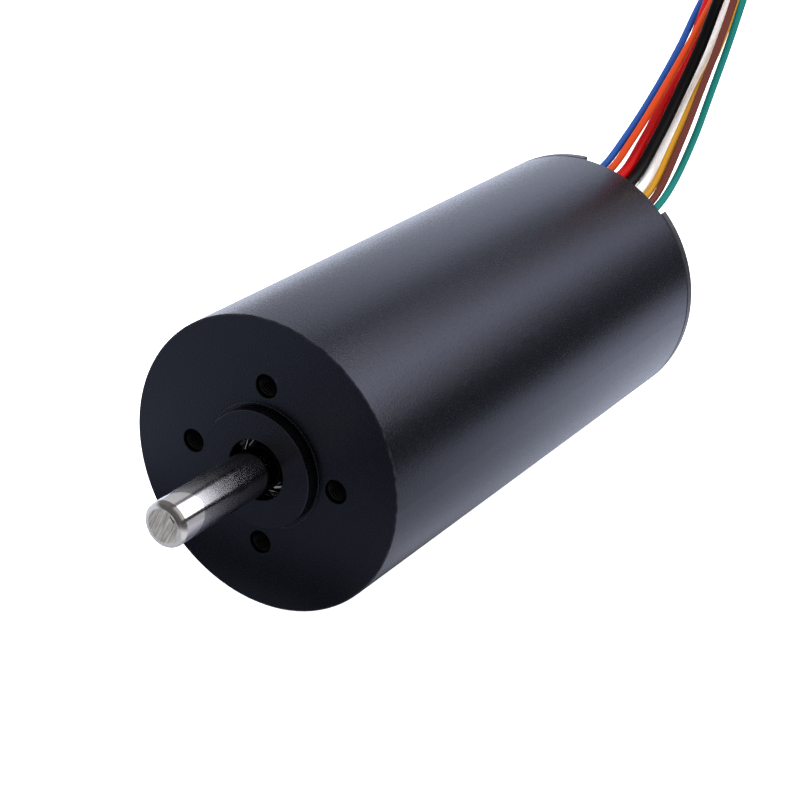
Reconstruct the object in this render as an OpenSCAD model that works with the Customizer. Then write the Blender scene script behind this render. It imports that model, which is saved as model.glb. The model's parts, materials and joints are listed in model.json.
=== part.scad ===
// Brushless coreless motor with a spigot, a plain round shaft and eight leads.
// The origin is the centre of the front mounting face, on the shaft's axis.
// The shaft points to -Y, the body runs to +Y, and +Z is up.

/* [Housing] */
// Outer diameter of the housing
body_d = 40; // [39.5:0.5:46]
// Wall of the housing's tube
tube_wall = 1.6; // [1.2:0.1:1.9]
// Thickness of the front wall behind the mounting face
front_wall = 7; // [6.7:0.1:8]
// How much wider the tube is bored behind the rear bell's seat, on the radius
rear_step = 0.3; // [0.2:0.05:0.5]
// Chamfer on the housing's outer edges
edge_chamfer = 0.1; // [0.05:0.05:0.4]

/* [Front face] */
// Diameter of the centring spigot
pilot_d = 16; // [14:0.5:17]
// Height of the spigot over the mounting face
pilot_h = 1.6; // [1:0.1:3]
// Bore of the spigot round the shaft
pilot_bore_d = 8.2; // [7.5:0.1:9]
// Width of the relief groove round the spigot
relief_w = 0.4; // [0.2:0.05:0.6]
// Depth of that groove
relief_depth = 0.15; // [0.1:0.05:0.3]
// Diameter of the circle of mounting holes
bolt_circle_d = 22; // [21:0.5:26]
// Number of mounting holes
bolt_count = 4; // [3:1:6]
// Thread diameter of the mounting holes
bolt_d = 3; // [2.5:0.1:3.5]
// Depth of the full thread
bolt_depth = 5; // [4:0.5:5.5]

/* [Shaft] */
// Diameter of the shaft's output end and of both journals
shaft_d = 6; // [5.6:0.05:6.4]
// Length of the shaft ahead of the mounting face
shaft_out = 20; // [10:1:40]
// Chamfer at the shaft's tip
shaft_chamfer = 0.6; // [0.2:0.1:1]
// Diameter of the shaft inside the magnet
core_d = 10; // [8:0.5:12]
// Diameter of the tail that carries the sensor magnet
tail_d = 4; // [3:0.2:4.6]

/* [Bearings] */
// Outer diameter of a bearing
bearing_od = 15; // [14.6:0.1:15.4]
// Width of a bearing
bearing_w = 5; // [4.6:0.1:5.4]
// Diameter of the balls
ball_d = 2.5; // [2.2:0.05:2.6]
// Balls in a bearing
ball_count = 7; // [5:1:7]
// Front wall left ahead of the bearing pocket, from the mounting face
pocket_lip = 1.2; // [0.8:0.1:1.4]
// Thickness of the shim ahead of the front bearing
shim_t = 0.2; // [0.1:0.05:0.3]
// Space for the spring washer behind the rear bearing
spring_space = 0.6; // [0.5:0.05:0.9]
// Thickness of the spring washer
spring_t = 0.2; // [0.1:0.05:0.3]

/* [Rotor and winding] */
// Length of the magnet
magnet_len = 48; // [30:1:60]
// Thickness of the discs at both ends of the magnet
balance_t = 3; // [2:0.25:4]
// Length of the collar between the front bearing and the core
front_collar = 2.6; // [1.8:0.1:4]
// Wall of the sleeve round the magnet
band_t = 0.3; // [0.2:0.05:0.5]
// Air gap between the sleeve and the winding
air_gap = 0.5; // [0.3:0.05:0.8]
// Wall of the winding
winding_t = 1.6; // [1.2:0.1:2]
// How far the winding reaches past each end of the magnet
winding_over = 2.5; // [1:0.25:2.7]
// Bundles of wire round the winding
bundle_count = 24; // [12:6:30]
// Angle that a bundle turns from end to end
bundle_skew = 60; // [20:5:90]
// Wall of the insulation round the winding
insulation_t = 0.18; // [0.1:0.02:0.3]
// Wall of the lamination ring
stack_t = 2.8; // [2:0.1:3.2]
// How far the laminations reach past each end of the magnet
stack_over = 1; // [0.5:0.25:2]

/* [Rear end] */
// Space between the winding and the rear bell
bell_gap = 2.5; // [1:0.25:4]
// Wall of the rear bell behind its bearing pocket
bell_wall = 1.6; // [1.2:0.1:2.5]
// Thickness of the rear bell's web
web_t = 3.6; // [3:0.1:5]
// Space between the rear bell's hub and the board
board_space = 3.2; // [2.8:0.1:5]
// Thickness of the board
board_t = 1.2; // [0.8:0.1:1.6]
// Depth of the cap behind the board
cap_depth = 4.8; // [4:0.2:8]
// Thickness of the cap's rear wall
cap_t = 2.2; // [1.8:0.1:3]
// Thickness of the cap's rim
rim_t = 1.4; // [1:0.1:1.8]
// Gap between the tube's end and the rim
rim_gap = 0.2; // [0.1:0.05:0.3]
// How far inside the body's rim the posts and the cap's screws stand
post_inset = 4.6; // [4.4:0.1:5]
// Thread diameter of the cap's screws
screw_d = 2; // [1.6:0.1:2.2]
// Length of the cap's screws
screw_len = 12; // [10:0.5:12.5]
// Diameter of the screws' heads
screw_head_d = 3.8; // [3.4:0.1:4]
// Direction of the middle of the notch for the leads, as an angle from +X towards +Z
notch_angle = 68.75; // [65:0.25:72]
// Width of the notch, along the circle of the leads
notch_width = 13.5; // [13.5:0.1:14.5]
// How far inside the body's rim the notch's floor lies
notch_inset = 3.8; // [3.7:0.1:4.1]

/* [Leads] */
// Outer diameter of the three phase leads
phase_lead_d = 1.8; // [1.4:0.05:1.8]
// Outer diameter of the five signal leads
signal_lead_d = 1.15; // [0.9:0.05:1.15]
// How far inside the body's rim the leads pass the clamp
lead_inset = 2.6; // [2.5:0.05:2.7]
// Length of the clamp's comb along the leads
comb_len = 2.9; // [2:0.1:3.2]
// Length of the bare tinned ends
tinned_len = 5; // [3:0.5:10]

/* [Hidden] */
$fn = 96;

// Clearances, all on the radius or along the axis
fit_gap = 0.02;
face_gap = 0.05;
ball_gap = 0.05;
comb_gap = 0.04;
clear_gap = 0.1;
// Overlap of cutting tools past the faces that they cut
cut = 1;
// How much wider and deeper a mounting hole's mouth is than its thread
thread_lead_in = 0.15;
// How far inside the bearing's rim the centring ring's stem ends
stem_inset = 1.3;
// Relief groove on the shaft, inside the spigot's bore
groove_y = -0.6;
groove_w = 0.8;
groove_depth = 0.2;
// Lesser sizes of the rear bell
bell_step = 1;
bell_rim_len = 6;
bell_rim_t = 1.7;
hub_wall = 1.9;
tail_bore_gap = 0.7;
post_d = 4.4;
window_d = 5;
window_inset = 1.5;
// Lesser sizes of the cap and its screws
boss_d = 5.2;
spigot_t = 1.5;
hex_d = 1.5;
hex_depth = 0.9;
comb_lip = 0.9;
comb_margin = 0.3;
// Wires, solder and holes of the board
tail_wire_d = 0.8;
tail_stub = 0.6;
solder_r = 0.55;
solder_h = 0.7;
pin_r = 0.35;
// Sensors: the body along the radius, through its thickness and across, and its legs
sensor_reach = 2.8;
sensor_len = 2.6;
sensor_t = 1.3;
sensor_w = 3;
leg_len = 0.8;
leg_t = 0.3;
leg_w = 0.4;
leg_pitch = 0.95;
// Sensor magnet and its hub on the shaft's tail
sensor_hub_t = 1.2;
sensor_flange = 1.2;
sensor_flange_t = 0.4;
sensor_magnet_t = 2.4;
sensor_gap = 0.7;
sensor_end_gap = 0.4;
// Lesser sizes of the bearings
shield_t = 0.25;
shield_inset = 0.15;
shield_grip = 0.45;
shield_gap = 0.25;
cage_t = 1;
cage_back = 0.45;
cage_gap = 0.3;
ring_chamfer = 0.3;
// Lesser sizes of the rotor and the stator
collar_step = 0.2;
band_over = 0.5;
balance_hole_r = 1;
balance_hole_depth = 1.2;
balance_hole_inset = 2;
bundle_groove = 0.3;
weld_groove_r = 0.5;

// Radii from the housing inwards
body_r = body_d / 2;
tube_r = body_r - tube_wall;
rear_r = tube_r + rear_step;
stack_out_r = tube_r - fit_gap;
stack_in_r = stack_out_r - stack_t;
insulation_out_r = stack_in_r - fit_gap;
insulation_in_r = insulation_out_r - insulation_t;
winding_out_r = insulation_in_r - fit_gap;
winding_in_r = winding_out_r - winding_t;
winding_mid_r = (winding_out_r + winding_in_r) / 2;
band_out_r = winding_in_r - air_gap;
band_in_r = band_out_r - band_t;
magnet_r = band_in_r - fit_gap;
core_r = core_d / 2;
shaft_r = shaft_d / 2;
tail_r = tail_d / 2;
bearing_r = bearing_od / 2;
pilot_r = pilot_d / 2;
bore_r = pilot_bore_d / 2;
stem_r = bearing_r - stem_inset;

// Places along the axis, from the mounting face backwards
front_bearing_y = pocket_lip + shim_t;
core_y = front_bearing_y + bearing_w + front_collar;
magnet_y = core_y + balance_t;
core_end = magnet_y + magnet_len + balance_t;
winding_y = magnet_y - winding_over;
winding_len = magnet_len + 2 * winding_over;
stack_y = magnet_y - stack_over;
stack_len = magnet_len + 2 * stack_over;
bell_y = winding_y + winding_len + bell_gap;
rear_bearing_y = bell_y + bell_step;
rear_bearing_end = rear_bearing_y + bearing_w;
bell_pocket_end = rear_bearing_end + spring_space;
bell_end = bell_pocket_end + bell_wall;
board_y = bell_end + board_space;
board_end = board_y + board_t;
cap_y = board_end + cap_depth;
body_end = cap_y + cap_t;
rim_y = body_end - rim_t;
tube_end = rim_y - rim_gap;

// Ball bearing: the balls run on a circle halfway between bore and rim
ball_r = ball_d / 2;
ball_circle_r = (shaft_r + bearing_r) / 2;
race_r = ball_r + ball_gap;
inner_shoulder_r = ball_circle_r - 0.84 * ball_r;
outer_shoulder_r = ball_circle_r + 0.84 * ball_r;
shield_in_r = inner_shoulder_r + shield_gap;

// Three posts and screws stand clear of the notch, evenly spaced
post_r = body_r - post_inset;
notch_r = body_r - notch_inset;
lead_circle_r = body_r - lead_inset;
degree_per_mm = 180 / PI / lead_circle_r;
notch_from = notch_angle - notch_width / 2 * degree_per_mm;
notch_to = notch_angle + notch_width / 2 * degree_per_mm;
post_angles = [for (k = [0:2]) notch_angle + 60 + 120 * k];
bell_out_r = rear_r - fit_gap;
cap_out_r = rear_r - 2 * fit_gap;
hub_r = bearing_r + hub_wall;
// Six windows in the bell's web, three of them for the winding's tails
window_circle_r = winding_mid_r - window_inset;
window_angles = [for (k = [0:5]) notch_angle - 30 + 60 * k];
tail_angles = [for (k = [0:2]) notch_angle - 30 + 120 * k];
// Depth of the cone under a countersunk head
screw_sink = (screw_head_d - screw_d) / 2;

sensor_hub_r = tail_r + sensor_hub_t;
sensor_flange_r = sensor_hub_r + sensor_flange;
sensor_magnet_r = sensor_hub_r + sensor_magnet_t;
sensor_y = bell_end + sensor_gap;
sensor_end = board_y - sensor_end_gap;
sensor_circle_r = sensor_magnet_r + sensor_reach;

// Leads from the notch's end towards its start
PHASE = phase_lead_d / 2;
SIGNAL = signal_lead_d / 2;
lead_radii = [SIGNAL, SIGNAL, PHASE, PHASE, PHASE, SIGNAL, SIGNAL, SIGNAL];
// Where they pass the clamp, as lengths along their circle from the notch's middle
lead_steps = [4.973, 3.693, 2.088, 0.158, -1.772, -3.377, -4.657, -5.937];
lead_angles = [for (s = lead_steps) notch_angle + s * degree_per_mm];
// Where each lead runs from the clamp until it bends over: X and Z from its place in the
// clamp, and Y behind the cap between them
lead_points = [
    [[0.42, 2.1, 1.46], [0.72, 7.43, 4.47], [0.82, 16.32, 9.98],
     [0.93, 23.84, 15.97], [1.03, 30.28, 22.38], [1.66, 36.02, 27.61]],
    [[0.56, 1.61, 1.42], [1.04, 6.96, 5.02], [1.68, 14.25, 11.01],
     [2.48, 20.56, 17.41], [3.35, 26.03, 23.93], [3.93, 31.07, 29.57]],
    [[0.36, 3, 0.75], [0.07, 10.18, 4.54], [0.05, 17.68, 10.64],
     [-0.56, 25.47, 16.53], [0.12, 28.59, 23.58], [-0.05, 32.47, 29.78]],
    [[0.28, 2.6, 0.73], [0.65, 9.46, 6.04], [0.84, 15.57, 12.24],
     [1.25, 20.51, 18.74], [1.48, 24.58, 25.39], [1.73, 29.3, 31.46]],
    [[-0.23, 3.8, 0.41], [-0.96, 12.35, 6.15], [-0.98, 19.26, 12.23],
     [-1.56, 26.45, 18.12], [-2.09, 32.18, 24.58], [-2.41, 34.9, 26.9]],
    [[-0.07, 3.1, 0.91], [0.06, 10.79, 8.01], [-0.5, 17.93, 13.73],
     [-1.22, 26.53, 19.33], [-1.79, 32.72, 25.54], [-1.92, 35.57, 27.69]],
    [[0.03, 2.7, 1.03], [0.27, 10.3, 9.08], [0.13, 15.3, 15.33],
     [0.21, 19.77, 21.89], [-0.13, 24.54, 28.36], [-1.02, 28.59, 34.45]],
    [[0.23, 2.4, 1.33], [0.08, 12.99, 9.36], [0.07, 17.42, 15.83],
     [0.03, 21.82, 22.38], [0.13, 25.27, 29.09], [0.23, 28.6, 35.9]]];
// The run that all leads share, side by side, until they lie on the ground: X, Y behind
// the cap, height of the lead's underside, and heading from +Y towards +X
shared_run = [
    [10.6, 38.2, 76, 27], [15.2, 45.4, 78.2, 30], [19.3, 51.4, 72, 31], [21.2, 54.2, 62.5, 31],
    [21.8, 55.2, 51, 30], [22.1, 55.4, 39.5, 25], [22.2, 55.6, 28.5, 20], [22.3, 56.3, 18, 14],
    [22.4, 58.7, 8.5, 8], [22.4, 64.8, 1.6, 2], [22.3, 73.4, 0.1, -2], [21.6, 82.2, 0, -8],
    [19.8, 90.6, 0, -15], [17.1, 98.6, 0, -21], [13.7, 106.4, 0, -26], [9.6, 113.9, 0, -30]];
// Each lead's place across the shared run
lead_lanes = [-5.7, 1, -2.1, 2.6, -4.1, -0.4, 4.3, 5.8];
ground_z = -body_r;
lead_sides = 8;
lead_ring_step = 3.5;
comb_y = board_end + clear_gap;
comb_in_r = notch_r - comb_lip;
comb_out_r = rear_r - clear_gap;

// Turns a profile of [radius, y] points about the motor's axis
module turned(profile) {
    rotate([-90, 0, 0])
        rotate_extrude()
            polygon(profile);
}

// Plain ring between two radii, from y0 to y1
module ring(r_in, r_out, y0, y1) {
    turned([[r_in, y0], [r_out, y0], [r_out, y1], [r_in, y1]]);
}

// Ring with a small chamfer on its outer edges
module soft_ring(r_in, r_out, y0, y1, c) {
    turned([[r_in, y0], [r_out - c, y0], [r_out, y0 + c],
            [r_out, y1 - c], [r_out - c, y1], [r_in, y1]]);
}

// Puts its children at an angle from +X towards +Z, r from the axis, at y
module at(angle, r, y) {
    rotate([0, -angle, 0])
        translate([r, y, 0])
            children();
}

// Round rod along +Y
module rod(r, length) {
    rotate([-90, 0, 0])
        cylinder(r = r, h = length);
}

// Cone along +Y
module taper(r0, r1, length) {
    rotate([-90, 0, 0])
        cylinder(r1 = r0, r2 = r1, h = length);
}

// Part of a ring between two angles, from y0 to y1
module ring_sector(from, to, r_in, r_out, y0, y1) {
    far = 2 * r_out;
    middle = (from + to) / 2;
    translate([0, y1, 0])
        rotate([90, 0, 0])
            linear_extrude(y1 - y0)
                intersection() {
                    difference() {
                        circle(r_out);
                        circle(r_in);
                    }
                    polygon([[0, 0],
                        far * [cos(from), sin(from)],
                        far * [cos(middle), sin(middle)],
                        far * [cos(to), sin(to)]]);
                }
}

module housing() {
    color([0.07, 0.07, 0.08])
        difference() {
            turned([
                [stem_r + fit_gap, 0], [pilot_r - relief_w / 2, 0],
                [pilot_r - relief_w / 2, relief_depth],
                [pilot_r + relief_w, relief_depth], [pilot_r + relief_w, 0],
                [body_r - edge_chamfer, 0], [body_r, edge_chamfer],
                [body_r, tube_end - edge_chamfer], [body_r - edge_chamfer, tube_end],
                [rear_r, tube_end], [rear_r, bell_y], [tube_r, bell_y],
                [tube_r, front_wall], [bearing_r + fit_gap, front_wall],
                [bearing_r + fit_gap, pocket_lip], [stem_r + fit_gap, pocket_lip]]);
            for (k = [0:bolt_count - 1])
                at(360 / bolt_count * k, bolt_circle_d / 2, 0)
                    mounting_hole();
        }
}

// Spigot that centres the motor: its stem is pressed into the front wall, ahead of the bearing
module centring_ring() {
    color([0.07, 0.07, 0.08])
        turned([
            [bore_r + edge_chamfer, -pilot_h], [pilot_r - edge_chamfer, -pilot_h],
            [pilot_r, edge_chamfer - pilot_h], [pilot_r, 0], [stem_r, 0],
            [stem_r, pocket_lip - face_gap], [bore_r, pocket_lip - face_gap],
            [bore_r, edge_chamfer - pilot_h]]);
}

// Blind threaded hole with a drill point and a small lead-in
module mounting_hole() {
    r = bolt_d / 2;
    drill_point = 0.6 * r;
    translate([0, -cut, 0])
        rod(r, bolt_depth + cut);
    translate([0, bolt_depth, 0])
        taper(r, 0, drill_point);
    translate([0, -thread_lead_in, 0])
        taper(r + 2 * thread_lead_in, r, 2 * thread_lead_in);
}

// Bearing carrier: rim in the tube, web with windows, hub with the pocket, three posts
module rear_bell() {
    rim_end = bell_y + bell_rim_len;
    rim_in_r = bell_out_r - bell_rim_t;
    tail_bore_r = tail_r + tail_bore_gap;
    color([0.72, 0.73, 0.75])
        difference() {
            union() {
                turned([
                    [bearing_r + fit_gap, bell_y], [bell_out_r - edge_chamfer, bell_y],
                    [bell_out_r, bell_y + edge_chamfer], [bell_out_r, rim_end],
                    [rim_in_r, rim_end], [rim_in_r, bell_y + web_t],
                    [hub_r, bell_y + web_t], [hub_r, bell_end],
                    [tail_bore_r, bell_end], [tail_bore_r, bell_pocket_end],
                    [bearing_r + fit_gap, bell_pocket_end]]);
                for (a = post_angles)
                    at(a, post_r, bell_y + web_t / 2)
                        rod(post_d / 2, board_y - bell_y - web_t / 2);
            }
            for (a = window_angles)
                at(a, window_circle_r, bell_y - cut)
                    rod(window_d / 2, web_t + 2 * cut);
            for (a = post_angles)
                at(a, post_r, body_end - screw_len - cut)
                    rod(screw_d / 2 + fit_gap, screw_len + 2 * cut);
        }
}

// Moulded cap: rear wall, rim, spigot in the tube, three bosses, notch for the leads
module rear_cap() {
    color([0.13, 0.13, 0.14])
        difference() {
            union() {
                turned([
                    [0, cap_y], [cap_out_r - spigot_t, cap_y],
                    [cap_out_r - spigot_t, board_end + face_gap],
                    [cap_out_r - edge_chamfer, board_end + face_gap],
                    [cap_out_r, board_end + face_gap + edge_chamfer],
                    [cap_out_r, rim_y], [body_r - edge_chamfer, rim_y],
                    [body_r, rim_y + edge_chamfer], [body_r, body_end - edge_chamfer],
                    [body_r - edge_chamfer, body_end], [0, body_end]]);
                for (a = post_angles)
                    at(a, post_r, board_end + face_gap)
                        rod(boss_d / 2, cap_depth + cap_t / 2);
            }
            ring_sector(notch_from, notch_to, notch_r, body_r + cut, board_end - cut, body_end + cut);
            for (a = post_angles) {
                at(a, post_r, board_end - cut)
                    rod(screw_d / 2 + clear_gap, cap_depth + cap_t + 2 * cut);
                at(a, post_r, body_end - screw_sink)
                    taper(screw_d / 2 + clear_gap, screw_head_d / 2 + clear_gap, screw_sink);
            }
        }
}

// Countersunk screws with a hexagon socket, through the cap into the bell's posts
module cap_screws() {
    color([0.55, 0.55, 0.57])
        for (a = post_angles)
            at(a, post_r, body_end - screw_len)
                difference() {
                    union() {
                        rod(screw_d / 2, screw_len - screw_sink);
                        translate([0, screw_len - screw_sink - face_gap, 0])
                            taper(screw_d / 2, screw_head_d / 2, screw_sink);
                    }
                    translate([0, screw_len - hex_depth, 0])
                        rotate([-90, 0, 0])
                            cylinder(d = hex_d, h = hex_depth + cut, $fn = 6);
                }
}

// Comb that spreads the leads in the notch, with a lip that the cap's wall traps
module lead_clamp() {
    from = notch_from + comb_margin;
    to = notch_to - comb_margin;
    color([0.1, 0.1, 0.1])
        difference() {
            union() {
                ring_sector(from, to, comb_in_r, comb_out_r, comb_y, comb_y + comb_len);
                ring_sector(from, to, comb_in_r, notch_r - clear_gap, comb_y, cap_y - clear_gap);
            }
            for (i = [0:len(lead_angles) - 1])
                at(lead_angles[i], lead_circle_r, comb_y - cut)
                    rod(lead_radii[i] + comb_gap, comb_len + 2 * cut);
        }
}

// Slotless lamination ring with three weld grooves along its outside
module stator_stack() {
    color([0.45, 0.46, 0.48])
        difference() {
            ring(stack_in_r, stack_out_r, stack_y, stack_y + stack_len);
            for (k = [0:2])
                at(120 * k + 30, stack_out_r, stack_y - cut)
                    rod(weld_groove_r, stack_len + 2 * cut);
        }
}

module insulation_sleeve() {
    color([0.85, 0.72, 0.35])
        ring(insulation_in_r, insulation_out_r, stack_y - stack_over / 2,
             stack_y + stack_len + stack_over / 2);
}

// Outline of the winding: each bundle is a land between two shallow grooves
function bundle_outline() = [
    for (k = [0:bundle_count - 1], s = [[0, 0], [0.62, 0], [0.74, 1], [0.88, 1]])
        let (a = 360 * (k + s[0]) / bundle_count, r = winding_out_r - bundle_groove * s[1])
            [r * cos(a), r * sin(a)]];

module winding() {
    color([0.72, 0.38, 0.18])
        translate([0, winding_y, 0])
            rotate([-90, 0, 0])
                linear_extrude(winding_len, twist = bundle_skew, slices = 8)
                    difference() {
                        polygon(bundle_outline());
                        circle(winding_in_r, $fn = 48);
                    }
}

// The winding's three ends, through the bell's windows to the board
module phase_tails() {
    start = winding_y + winding_len + face_gap;
    color([0.76, 0.42, 0.2])
        for (a = tail_angles)
            at(a, winding_mid_r, start)
                rod(tail_wire_d / 2, board_end + tail_stub - start);
}

// Round board with a hole for the shaft's tail, the screws, the tails and the leads
module hall_board() {
    color([0.08, 0.32, 0.18])
        difference() {
            ring(tail_r + tail_bore_gap, bell_out_r - 2 * clear_gap, board_y, board_end);
            for (a = post_angles)
                at(a, post_r, board_y - cut)
                    rod(screw_d / 2 + clear_gap, board_t + 2 * cut);
            for (a = tail_angles)
                at(a, winding_mid_r, board_y - cut)
                    rod(tail_wire_d / 2 + face_gap, board_t + 2 * cut);
            for (a = lead_angles)
                at(a, lead_circle_r, board_y - cut)
                    rod(pin_r + fit_gap, board_t + 2 * cut);
        }
}

// Three sensors with their legs, on the side of the board that faces the magnet
module hall_sensors() {
    color([0.12, 0.12, 0.12])
        for (k = [0:2])
            at(notch_angle + 30 + 120 * k, sensor_circle_r, board_y - sensor_t) {
                translate([-sensor_len / 2, 0, -sensor_w / 2])
                    cube([sensor_len, sensor_t - clear_gap, sensor_w]);
                for (j = [-1:1])
                    translate([sensor_len / 2 - leg_len / 4, sensor_t - leg_t, leg_pitch * j - leg_w / 2])
                        cube([leg_len, leg_t, leg_w]);
            }
}

// Each lead's core is soldered through the board; the winding's tails behind it
module solder_joints() {
    color([0.8, 0.8, 0.82])
        for (a = lead_angles)
            at(a, lead_circle_r, board_y - solder_h) {
                taper(solder_r / 2, solder_r, solder_h);
                rod(pin_r, solder_h + board_t);
            }
}

module front_shim() {
    color([0.75, 0.75, 0.76])
        ring(outer_shoulder_r, bearing_r - fit_gap, pocket_lip + fit_gap, front_bearing_y - fit_gap);
}

// Spring washer with three waves between the rear bearing and the bell
module wave_washer() {
    steps = 36;
    waves = 3;
    r_in = outer_shoulder_r - shield_grip;
    r_out = bearing_r - ring_chamfer;
    middle = (rear_bearing_end + bell_pocket_end) / 2;
    swing = (spring_space - spring_t) / 2 - fit_gap;
    function corner(k, r, side) =
        let (a = 360 * k / steps)
            [r * cos(a), middle + swing * sin(waves * a) + side * spring_t / 2, r * sin(a)];
    points = [for (k = [0:steps - 1])
        for (c = [[r_in, -1], [r_out, -1], [r_out, 1], [r_in, 1]]) corner(k, c[0], c[1])];
    faces = [for (k = [0:steps - 1], s = [0:3])
        let (n = (k + 1) % steps, t = (s + 1) % 4)
            for (half = [0:1])
                half == 0 ? [4 * k + s, 4 * n + s, 4 * k + t] : [4 * k + t, 4 * n + s, 4 * n + t]];
    color([0.62, 0.62, 0.64])
        polyhedron(points, faces);
}

// Outer ring of a bearing: ball groove inside, a step for the shield at each face
module outer_ring(y) {
    seat_r = outer_shoulder_r + shield_grip;
    seat_y = shield_inset + shield_t + fit_gap;
    color([0.7, 0.71, 0.73])
        difference() {
            turned([
                [seat_r, y], [bearing_r - ring_chamfer, y], [bearing_r, y + ring_chamfer],
                [bearing_r, y + bearing_w - ring_chamfer], [bearing_r - ring_chamfer, y + bearing_w],
                [seat_r, y + bearing_w], [seat_r, y + bearing_w - seat_y],
                [outer_shoulder_r, y + bearing_w - seat_y], [outer_shoulder_r, y + seat_y],
                [seat_r, y + seat_y]]);
            ball_groove(y + bearing_w / 2);
        }
}

// Inner ring of a bearing on the shaft
module inner_ring(y) {
    color([0.7, 0.71, 0.73])
        difference() {
            soft_ring(shaft_r + fit_gap, inner_shoulder_r, y, y + bearing_w, ring_chamfer / 2);
            ball_groove(y + bearing_w / 2);
        }
}

// The space that the balls sweep
module ball_groove(y) {
    translate([0, y, 0])
        rotate([-90, 0, 0])
            rotate_extrude()
                translate([ball_circle_r, 0])
                    circle(race_r);
}

// Thin pressed shields at both faces of a bearing
module shields(y) {
    seat_r = outer_shoulder_r + shield_grip - fit_gap;
    color([0.78, 0.78, 0.8]) {
        ring(shield_in_r, seat_r, y + shield_inset, y + shield_inset + shield_t);
        ring(shield_in_r, seat_r, y + bearing_w - shield_inset - shield_t,
             y + bearing_w - shield_inset);
    }
}

// Crown cage: a ring behind the balls with a pocket round each
module crown_cage(y) {
    middle = y + bearing_w / 2;
    color([0.82, 0.76, 0.6])
        difference() {
            ring(ball_circle_r - cage_t / 2, ball_circle_r + cage_t / 2,
                 middle - cage_back, y + bearing_w - shield_inset - shield_t - cage_gap);
            for (k = [0:ball_count - 1])
                at(360 / ball_count * k, ball_circle_r - cage_t, middle)
                    rotate([0, 90, 0])
                        cylinder(r = ball_r + ball_gap, h = 2 * cage_t);
        }
}

module ball_set(y) {
    color([0.86, 0.87, 0.88])
        for (k = [0:ball_count - 1])
            at(360 / ball_count * k, ball_circle_r, y + bearing_w / 2)
                sphere(ball_r);
}

module front_outer_ring() {
    outer_ring(front_bearing_y);
}

module rear_outer_ring() {
    outer_ring(rear_bearing_y);
}

module front_shields() {
    shields(front_bearing_y);
}

module rear_shields() {
    shields(rear_bearing_y);
}

module front_inner_ring() {
    inner_ring(front_bearing_y);
}

module rear_inner_ring() {
    inner_ring(rear_bearing_y);
}

module front_cage() {
    crown_cage(front_bearing_y);
}

module front_balls() {
    ball_set(front_bearing_y);
}

module rear_cage() {
    crown_cage(rear_bearing_y);
}

module rear_balls() {
    ball_set(rear_bearing_y);
}

// One turned piece: output end, relief groove, front journal, core, rear journal, tail
module shaft() {
    groove_r = shaft_r - groove_depth;
    step_y = rear_bearing_end + (spring_space - spring_t);
    tail_end = board_y - 2 * clear_gap;
    color([0.8, 0.8, 0.81])
        turned([
            [0, -shaft_out], [shaft_r - shaft_chamfer, -shaft_out],
            [shaft_r, shaft_chamfer - shaft_out], [shaft_r, groove_y - groove_w],
            [groove_r, groove_y - groove_w], [groove_r, groove_y], [shaft_r, groove_y],
            [shaft_r, core_y], [core_r, core_y], [core_r, core_end],
            [shaft_r, core_end], [shaft_r, step_y], [tail_r, step_y],
            [tail_r, tail_end], [0, tail_end]]);
}

module rotor_magnet() {
    color([0.35, 0.35, 0.37])
        ring(core_r + fit_gap, magnet_r, magnet_y + fit_gap, magnet_y + magnet_len - fit_gap);
}

module magnet_sleeve() {
    color([0.16, 0.16, 0.17])
        ring(band_in_r, band_out_r, magnet_y - band_over, magnet_y + magnet_len + band_over);
}

// End disc with shallow balancing holes drilled at the given angles
module balance_ring(y, outward, angles) {
    hole_circle_r = magnet_r - balance_hole_inset;
    face_y = outward > 0 ? y + balance_t - balance_hole_depth : y - cut;
    color([0.78, 0.62, 0.3])
        difference() {
            soft_ring(core_r + fit_gap, magnet_r - fit_gap, y, y + balance_t, edge_chamfer);
            for (a = angles)
                at(a, hole_circle_r, face_y)
                    rod(balance_hole_r, balance_hole_depth + cut);
        }
}

module front_balance_ring() {
    balance_ring(core_y, -1, [20, 55]);
}

module rear_balance_ring() {
    balance_ring(core_end - balance_t, 1, [150, 175, 200]);
}

module front_spacer() {
    color([0.7, 0.7, 0.72])
        ring(shaft_r + fit_gap, inner_shoulder_r - collar_step,
             front_bearing_y + bearing_w + face_gap, core_y - face_gap);
}

module rear_spacer() {
    color([0.7, 0.7, 0.72])
        ring(shaft_r + fit_gap, inner_shoulder_r - collar_step,
             core_end + face_gap, rear_bearing_y - face_gap);
}

// Flanged brass hub on the shaft's tail
module sensor_hub() {
    color([0.78, 0.62, 0.3])
        turned([
            [tail_r + fit_gap, sensor_y], [sensor_flange_r, sensor_y],
            [sensor_flange_r, sensor_y + sensor_flange_t],
            [sensor_hub_r, sensor_y + sensor_flange_t],
            [sensor_hub_r, sensor_end], [tail_r + fit_gap, sensor_end]]);
}

module sensor_magnet() {
    color([0.3, 0.3, 0.32])
        ring(sensor_hub_r + fit_gap, sensor_magnet_r,
             sensor_y + sensor_flange_t + fit_gap, sensor_end);
}

// Direction of the curve at its point i, closer to that of the shorter side
function slope(points, i) =
    let (last = len(points) - 1,
         back = points[max(i, 1)] - points[max(i, 1) - 1],
         on = points[min(i, last - 1) + 1] - points[min(i, last - 1)])
        (back * norm(on) / norm(back) + on * norm(back) / norm(on)) / (norm(back) + norm(on));

// Cubic curve from p to q that leaves along p_slope and arrives along q_slope
function between(p, q, p_slope, q_slope, t) =
    let (w = norm(q - p), s = t * t, c = s * t)
        (2 * c - 3 * s + 1) * p + (c - 2 * s + t) * w * p_slope
            + (3 * s - 2 * c) * q + (c - s) * w * q_slope;

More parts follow.
